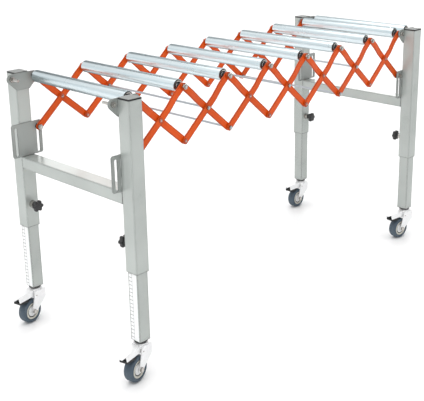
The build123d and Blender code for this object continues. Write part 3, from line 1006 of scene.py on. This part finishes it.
class TABLE_OT_castors(bpy.types.Operator):
    """Plate the castor forks and brakes, and roll the swivel cups round the fork heads."""

    bl_idname = "roller_table.castors"
    bl_label = "Finish the castors"

    # Section of the rolled cup: height from the joint, radius and rounding in millimetres
    cup = (
        (0.2, 18.3, 0.3), (0.2, 20.4, 1.0), (-2.0, 21.2, 1.0), (-5.6, 21.2, 0.9),
        (-5.6, 20.2, 0.3), (-0.6, 20.0, 0.4), (-0.6, 18.3, 0.2),
    )

    def execute(self, context):
        steps = context.scene.roller_table_sizes.cup_steps
        profile = rounded(labelled(self.cup, "castor_zinc"))
        for corner in CORNERS:
            fork = f"castor_fork_{corner}"
            dress(fork, self.choose_fork)
            dress(f"castor_brake_{corner}", self.choose_brake)
            place = axis_place(joint(f"castor_swivel_{corner}")["pos_m"], (0, 0, 1))
            turned_piece(f"swivel_cup_{corner}", profile, steps, place, fork)
        return {"FINISHED"}

    @staticmethod
    def choose_fork(size):
        """Finish of the fork, its bolt and its pin by their size."""
        return "castor_zinc" if size[2] > FORK_HEIGHT else "hardware_zinc"

    @staticmethod
    def choose_brake(size):
        """Finish of the lever and its block by their size."""
        return "castor_zinc" if max(size[0], size[1]) > LEVER_LENGTH else "spacer_plastic"


class TABLE_OT_caps(bpy.types.Operator):
    """Colour the post caps and fit the dark seam under each."""

    bl_idname = "roller_table.caps"
    bl_label = "Fit the caps"

    curve_steps = 6
    inner_reach = 1.0 * MM
    bulge_share = 1.2
    lift = 0.2 * MM

    def execute(self, context):
        sizes = context.scene.roller_table_sizes
        for side in SIDES:
            caps = f"{side}_post_caps"
            dress(caps, lambda size: "cap_plastic")
            low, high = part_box(caps)
            middle, half = (low.x + high.x) / 2, (high.x - low.x) / 2
            top = high.z - CAP_THICKNESS * MM
            for end, y in (("front", low.y + half), ("rear", high.y - half)):
                points, faces = self.seam((middle, y, top), half, sizes)
                piece(
                    f"cap_seam_{end}_{side}", points, faces, f"{side}_frame",
                    ["spacer_plastic"],
                )
        return {"FINISHED"}

    def seam(self, centre, half, sizes):
        """Rounded band round the top of a post."""
        proud, height = sizes.seam_proud, sizes.seam_height
        section = [
            (-self.inner_reach, 0.0), (proud, 0.0), (proud * self.bulge_share, -height / 2),
            (proud, -height), (-self.inner_reach, -height),
        ]
        corner_radius = POST_CORNER * MM
        reach = math.sqrt(2) * (half - corner_radius)
        points = []
        for quarter in range(4):
            diagonal = math.pi / 2 * quarter + math.pi / 4
            for step in range(self.curve_steps + 1):
                angle = math.pi / 2 * (quarter + step / self.curve_steps)
                for out, up in section:
                    away = corner_radius + out
                    x = reach * math.cos(diagonal) + away * math.cos(angle)
                    y = reach * math.sin(diagonal) + away * math.sin(angle)
                    points.append(Vector(centre) + Vector((x, y, up + self.lift)))
        rings = 4 * (self.curve_steps + 1)
        return points, tube_faces(rings, len(section), closed=True)


class TABLE_OT_welds(bpy.types.Operator):
    """Lay the weld beads at the rail's ends and beside the bracket plates."""

    bl_idname = "roller_table.welds"
    bl_label = "Lay the welds"

    rail_inset = 3 * MM
    edge_inset = 0.8 * MM
    slot_plate_shares = ((0.12, 0.26), (0.62, 0.26))
    ear_plate_shares = (0.12, 0.5)
    sides = 10
    least_rings = 8
    rings_per_ripple = 4
    end_share, end_growth = 0.35, 6
    hollow_share, ripple_share = 0.86, 0.22
    wander_depth = 0.15 * MM
    wander_rate = 4.75

    def execute(self, context):
        sizes = context.scene.roller_table_sizes
        for side in SIDES:
            runs = [(end, run) for end in ("front", "rear") for run in self.runs(side, end)]
            for number, (end, (start, stop)) in enumerate(runs, 1):
                name = f"weld_{end}_{side}_{number}"
                self.bead(name, Vector(start), Vector(stop), sizes, f"{side}_frame")
        return {"FINISHED"}

    def runs(self, side, end):
        """Start and stop of each bead on the inner face of one post."""
        caps_low, caps_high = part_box(f"{side}_post_caps")
        slots_low, slots_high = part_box(f"{side}_slot_brackets")
        ears_low, ears_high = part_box(f"{side}_roller_brackets")
        rail_low, rail_high = longest_solid(f"{side}_frame", 1)
        middle = (caps_low.x + caps_high.x) / 2
        half = (caps_high.x - caps_low.x) / 2
        y = slots_low.y if end == "front" else slots_high.y
        height = slots_high.z - slots_low.z
        ear = ears_high.z - ears_low.z
        first, last = self.ear_plate_shares
        for z in (rail_high.z, rail_low.z):
            yield (middle - half + self.rail_inset, y, z), (middle + half - self.rail_inset, y, z)
        for x in (middle - half + self.edge_inset, middle + half - self.edge_inset):
            for share, length in self.slot_plate_shares:
                start = slots_low.z + height * share
                yield (x, y, start), (x, y, start + height * length)
            yield (x, y, ears_low.z + ear * first), (x, y, ears_low.z + ear * last)

    def bead(self, name, start, stop, sizes, body):
        """Rippled bead from one point to another, thinner at its ends."""
        run = stop - start
        length = run.length
        along = run.normalized()
        across = along.orthogonal().normalized()
        beside = along.cross(across)
        rings = max(self.least_rings, round(self.rings_per_ripple * length / sizes.ripple_pitch))
        points = []
        for ring in range(rings + 1):
            share = ring / rings
            travelled = share * length
            ripple = abs(math.sin(math.pi * travelled / sizes.ripple_pitch))
            taper = min(1.0, self.end_share + self.end_growth * min(share, 1 - share))
            radius = sizes.bead_radius * (self.hollow_share + self.ripple_share * ripple) * taper
            wander = across * self.wander_depth * math.sin(self.wander_rate * travelled / MM)
            for spot in range(self.sides):
                angle = math.tau * spot / self.sides
                out = across * math.cos(angle) + beside * math.sin(angle)
                points.append(start + run * share + wander + out * radius)
        count = self.sides
        faces = [tuple(range(count)), tuple(range(rings * count, (rings + 1) * count))]
        faces += tube_faces(rings + 1, count)
        piece(name, points, faces, body, ["weld_paint"], sharp=80.0)


class RollerTableStage(bpy.types.PropertyGroup):
    """Camera, floor and light."""

    floor_reach: length_setting("Floor reach", "Half the floor's width", 30.0, METRE)
    camera_place: place_setting(
        "Camera place", "Where the camera stands", (-1.8149, -1.69132, 1.18024)
    )
    camera_turn: angle_setting("Camera turn", "Heading from the +Y axis towards +X", 45.69)
    camera_tilt: angle_setting("Camera tilt", "Pitch above the horizon", -16.42)
    camera_roll: angle_setting("Camera roll", "Roll about the view", -1.09)
    camera_lens: number_setting("Lens", "Focal length on a 36 mm frame", 73.32)
    camera_shift: number_setting("Shift", "Vertical shift of the frame", -0.15)
    aim_height: length_setting("Aim height", "Height that the lamps aim at", 0.45, METRE)
    key_place: place_setting("Key place", "Where the key light hangs", (-2.6, -1.5, 2.6))
    key_width: length_setting("Key width", "Side of the key light", 2.4, METRE)
    key_power: number_setting("Key light", "Watts of the key light", 20.0, "POWER")
    fill_place: place_setting("Fill place", "Where the fill light hangs", (1.2, -3.2, 1.3))
    fill_width: length_setting("Fill width", "Side of the fill light", 2.6, METRE)
    fill_power: number_setting("Fill light", "Watts of the fill light", 1.5, "POWER")
    sun_strength: number_setting("Overhead", "Strength of the overhead light", 2.0)
    sun_spread: angle_setting("Overhead spread", "Width of the overhead light", 70)
    sky_strength: number_setting("Sky", "Strength of the studio surround", 1.0)


class TABLE_OT_stage(bpy.types.Operator):
    """Set up the pale floor, the soft light, the surround and the camera."""

    bl_idname = "roller_table.stage"
    bl_label = "Set the stage"

    ring_shares = (0.02, 0.1, 0.4, 1.0)
    floor_steps = 48
    sensor_width = 36.0
    far_clip = 100.0

    def execute(self, context):
        stage = context.scene.roller_table_stage
        self.floor(stage.floor_reach)
        self.surround(context.scene, stage.sky_strength)
        target = Vector((0, 0, stage.aim_height))
        self.light("key_light", stage.key_place, target, stage.key_width, stage.key_power)
        self.light("fill_light", stage.fill_place, target, stage.fill_width, stage.fill_power)
        self.overhead(stage)
        self.camera(context.scene, stage)
        context.scene.view_settings.view_transform = "Standard"
        return {"FINISHED"}

    def floor(self, reach):
        """Wide flat floor in rings, finer near the table."""
        steps = self.floor_steps
        points = [Vector((0, 0, 0))]
        for share in self.ring_shares:
            for step in range(steps):
                angle = math.tau * step / steps
                points.append(Vector((math.cos(angle), math.sin(angle), 0)) * reach * share)
        faces = [(0, 1 + step, 1 + (step + 1) % steps) for step in range(steps)]
        for face in tube_faces(len(self.ring_shares), steps):
            faces.append(tuple(1 + corner for corner in face))
        mesh = bpy.data.meshes.new("studio_floor")
        mesh.from_pydata(points, [], faces)
        mesh.materials.append(finish("studio_floor"))
        made = bpy.data.objects.new("studio_floor", mesh)
        bpy.context.scene.collection.objects.link(made)
        made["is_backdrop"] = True

    @staticmethod
    def surround(scene, strength):
        """Pale surround, brighter behind, with a window and a dark flag that line the metal."""
        world = bpy.data.worlds.new("studio_surround")
        world.use_nodes = True
        scene.world = world
        sheet = Sheet(world.node_tree)
        around = sheet.node("ShaderNodeTexCoord", output="Generated")
        sideways, back, up = (sheet.split(around, axis) for axis in range(3))
        low = up.eased(-0.02, 0.06) - up.eased(0.18, 0.4)
        left = 1 - sideways.eased(-0.2, 0.3)
        front_tone = sheet.blend(grey(0.36), grey(0.6), left)
        front_tone = sheet.blend(front_tone, opaque((0.28, 0.31, 0.34)), low)
        rear_tone = sheet.blend(grey(0.96), opaque((0.74, 0.79, 0.82)), low * left)
        tone = sheet.blend(front_tone, rear_tone, back.eased(0.15, 0.4))
        window = sideways.eased(0.45, 0.6) * back.eased(0.35, 0.5)
        window *= up.eased(0.02, 0.1) - up.eased(0.45, 0.6)
        tone = sheet.blend(tone, grey(2.6), window)
        flag = (sideways.eased(0.14, 0.2) - sideways.eased(0.36, 0.42)) * back.eased(0.2, 0.35)
        flag *= up.eased(0.3, 0.4)
        tone = sheet.blend(tone, opaque((0.01, 0.012, 0.015)), flag)
        tone = sheet.blend(tone, grey(1.06), up.below(0.0))
        glow = sheet.node("ShaderNodeBackground", None, {"Color": tone, "Strength": strength})
        sheet.node("ShaderNodeOutputWorld", None, {"Surface": glow})

    @staticmethod
    def light(name, place, target, width, power):
        """Square soft light aimed at the table."""
        lamp = bpy.data.lights.new(name, "AREA")
        lamp.shape = "SQUARE"
        lamp.size = width
        lamp.energy = power
        made = bpy.data.objects.new(name, lamp)
        bpy.context.scene.collection.objects.link(made)
        turn = (target - Vector(place)).to_track_quat("-Z", "Y").to_matrix().to_4x4()
        made.matrix_world = Matrix.Translation(place) @ turn

    @staticmethod
    def overhead(stage):
        """Wide even light from straight above, which keeps the whole floor white."""
        lamp = bpy.data.lights.new("overhead_light", "SUN")
        lamp.energy = stage.sun_strength
        lamp.angle = stage.sun_spread
        made = bpy.data.objects.new("overhead_light", lamp)
        bpy.context.scene.collection.objects.link(made)

    def camera(self, scene, stage):
        """Camera at the photograph's viewing angle."""
        heading, tilt, roll = stage.camera_turn, stage.camera_tilt, stage.camera_roll
        ahead = Vector((
            math.sin(heading) * math.cos(tilt), math.cos(heading) * math.cos(tilt), math.sin(tilt),
        ))
        right = Vector((math.cos(heading), -math.sin(heading), 0))
        up = right.cross(ahead)
        rolled_right = right * math.cos(roll) + up * math.sin(roll)
        rolled_up = up * math.cos(roll) - right * math.sin(roll)
        turn = Matrix((rolled_right, rolled_up, -ahead)).transposed().to_4x4()
        lens = bpy.data.cameras.new("photo_camera")
        lens.sensor_width = self.sensor_width
        lens.sensor_fit = "HORIZONTAL"
        lens.lens = stage.camera_lens
        lens.shift_y = stage.camera_shift
        lens.clip_end = self.far_clip
        made = bpy.data.objects.new("photo_camera", lens)
        made.matrix_world = Matrix.Translation(stage.camera_place) @ turn
        scene.collection.objects.link(made)
        scene.camera = made


OPERATORS = (
    TABLE_OT_frames, TABLE_OT_lattice, TABLE_OT_hardware, TABLE_OT_legs, TABLE_OT_rollers,
    TABLE_OT_wheels, TABLE_OT_knobs, TABLE_OT_castors, TABLE_OT_caps, TABLE_OT_welds,
    TABLE_OT_stage,
)
GROUPS = {
    "roller_table_colours": RollerTableColours,
    "roller_table_sizes": RollerTableSizes,
    "roller_table_stage": RollerTableStage,
}


class TABLE_PT_panel(bpy.types.Panel):
    """The table's settings and steps in the sidebar."""

    bl_idname = "TABLE_PT_panel"
    bl_label = "Roller table"
    bl_space_type = "VIEW_3D"
    bl_region_type = "UI"
    bl_category = "Roller table"

    def draw(self, context):
        for name, group in GROUPS.items():
            box = self.layout.box()
            for setting in group.__annotations__:
                box.prop(getattr(context.scene, name), setting)
        for operator in OPERATORS:
            self.layout.operator(operator.bl_idname)


def register():
    """Register the classes and put their settings on the scene."""
    for made in (*GROUPS.values(), *OPERATORS, TABLE_PT_panel):
        bpy.utils.register_class(made)
    for name, group in GROUPS.items():
        setattr(bpy.types.Scene, name, PointerProperty(type=group))


def unregister():
    """Take the settings and classes away again."""
    for name in GROUPS:
        delattr(bpy.types.Scene, name)
    for made in (TABLE_PT_panel, *OPERATORS[::-1], *GROUPS.values()):
        bpy.utils.unregister_class(made)


def main():
    """Run every step in order."""
    register()
    for operator in OPERATORS:
        area, name = operator.bl_idname.split(".")
        getattr(getattr(bpy.ops, area), name)()
    boxes = {"cad": cad_box, "visual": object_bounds()}
    {name: [list(corner) for corner in box] for name, box in boxes.items()}


if __name__ == "__main__":
    main()
